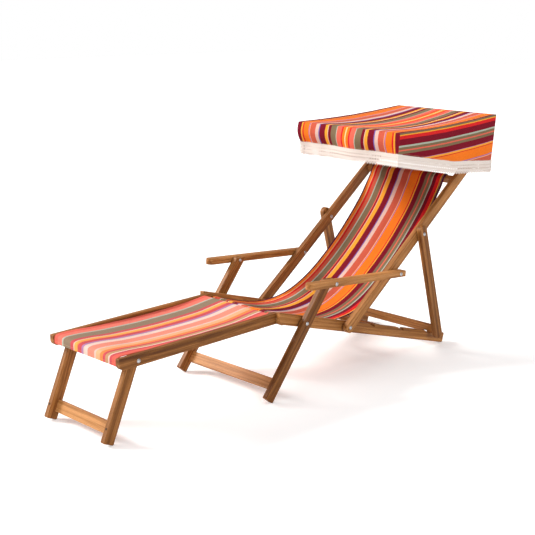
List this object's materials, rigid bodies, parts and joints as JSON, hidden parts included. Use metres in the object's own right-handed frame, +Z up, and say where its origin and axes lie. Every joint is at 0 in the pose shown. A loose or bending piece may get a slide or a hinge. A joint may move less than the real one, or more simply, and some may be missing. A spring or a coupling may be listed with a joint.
{
  "type": "folding beach chair",
  "caption": "Wooden reclining beach chair with a striped canvas sling, a footrest on folding legs and a fringed sun canopy.",
  "frame": {"origin": "on the floor, under the middle of the chair's bounding box", "axes": "+X to the sitter's left-hand side of the width, -Y towards the footrest end, +Y towards the back, +Z up"},
  "size_m": [0.6476, 2.223, 1.0645],
  "materials": {
    "oiled_hardwood": "oiled, satin",
    "striped_canvas": "woven stripes",
    "crochet_cotton": "openwork cotton",
    "plated_steel": "bright zinc"
  },
  "bodies": {
    "base": {"base_crossbar": "oiled_hardwood", "base_front_bar": "oiled_hardwood", "base_rail_left": "oiled_hardwood", "base_rail_right": "oiled_hardwood"},
    "back": {"back_bolt_left": "plated_steel", "back_bolt_right": "plated_steel", "back_top_bar": "oiled_hardwood", "sling": "striped_canvas", "stile_left": "oiled_hardwood", "stile_right": "oiled_hardwood"},
    "leg_frame": {"armrest_nut_left": "plated_steel", "armrest_nut_right": "plated_steel", "leg_bolt_left": "plated_steel", "leg_bolt_right": "plated_steel", "leg_crossbar": "oiled_hardwood", "leg_left": "oiled_hardwood", "leg_right": "oiled_hardwood"},
    "armrests": {"armrest_front_bolt_left": "plated_steel", "armrest_front_bolt_right": "plated_steel", "armrest_left": "oiled_hardwood", "armrest_rear_bolt_left": "plated_steel", "armrest_rear_bolt_right": "plated_steel", "armrest_right": "oiled_hardwood"},
    "strut_frame": {"strut_bolt_left": "plated_steel", "strut_bolt_right": "plated_steel", "strut_crossbar": "oiled_hardwood", "strut_left": "oiled_hardwood", "strut_right": "oiled_hardwood"},
    "footrest": {"footrest_front_bar": "oiled_hardwood", "footrest_pin_left": "plated_steel", "footrest_pin_right": "plated_steel", "footrest_rail_left": "oiled_hardwood", "footrest_rail_right": "oiled_hardwood", "footrest_rear_bar": "oiled_hardwood", "footrest_sling": "striped_canvas"},
    "footrest_legs": {"footrest_leg_bolt_left": "plated_steel", "footrest_leg_bolt_right": "plated_steel", "footrest_leg_crossbar": "oiled_hardwood", "footrest_leg_left": "oiled_hardwood", "footrest_leg_right": "oiled_hardwood", "footrest_screw_left": "plated_steel", "footrest_screw_right": "plated_steel"},
    "canopy": {"canopy_back_valance": "striped_canvas", "canopy_bolt_left": "plated_steel", "canopy_bolt_right": "plated_steel", "canopy_front_arm_left": "oiled_hardwood", "canopy_front_arm_right": "oiled_hardwood", "canopy_front_bar": "oiled_hardwood", "canopy_front_valance": "striped_canvas", "canopy_rear_arm_left": "oiled_hardwood", "canopy_rear_arm_right": "oiled_hardwood", "canopy_rear_bar": "oiled_hardwood", "canopy_side_left": "striped_canvas", "canopy_side_right": "striped_canvas", "canopy_top": "striped_canvas", "fringe_back": "crochet_cotton", "fringe_front": "crochet_cotton", "fringe_side_left": "crochet_cotton", "fringe_side_right": "crochet_cotton"}
  },
  "joints": [
    {"name": "back_fold", "type": "hinge", "parent": "base", "child": "back", "pos_m": [0, 0.12774, 0.2208], "axis": [1, 0, 0], "range_deg": [-38, 0], "deforming": ["sling"]},
    {"name": "leg_fold", "type": "hinge", "parent": "base", "child": "leg_frame", "pos_m": [0, -0.14346, 0.2933], "axis": [1, 0, 0], "range_deg": [-50, 0]},
    {"name": "armrest_swing", "type": "hinge", "parent": "back", "child": "armrests", "pos_m": [0, 0.40354, 0.418], "axis": [1, 0, 0], "range_deg": [0, 29.6]},
    {"name": "strut_swing", "type": "hinge", "parent": "back", "child": "strut_frame", "pos_m": [0, 0.58104, 0.568], "axis": [1, 0, 0], "range_deg": [0, 89.5]},
    {"name": "footrest_fold", "type": "hinge", "parent": "base", "child": "footrest", "pos_m": [0, -0.25746, 0.3265], "axis": [1, 0, 0], "range_deg": [-90, 0]},
    {"name": "footrest_leg_fold", "type": "hinge", "parent": "footrest", "child": "footrest_legs", "pos_m": [0, -0.96796, 0.3055], "axis": [1, 0, 0], "range_deg": [0, 100]},
    {"name": "canopy_tilt", "type": "hinge", "parent": "back", "child": "canopy", "pos_m": [0, 0.98284, 0.8804], "axis": [1, 0, 0], "range_deg": [-75, 0]}
  ],
  "couplings": [
    {"joint": "leg_fold", "follows": "back_fold", "ratio": 1.31},
    {"joint": "armrest_swing", "follows": "back_fold", "ratio": -0.775},
    {"joint": "strut_swing", "follows": "back_fold", "ratio": -2.35},
    {"joint": "footrest_fold", "follows": "back_fold", "ratio": 2.368}
  ]
}
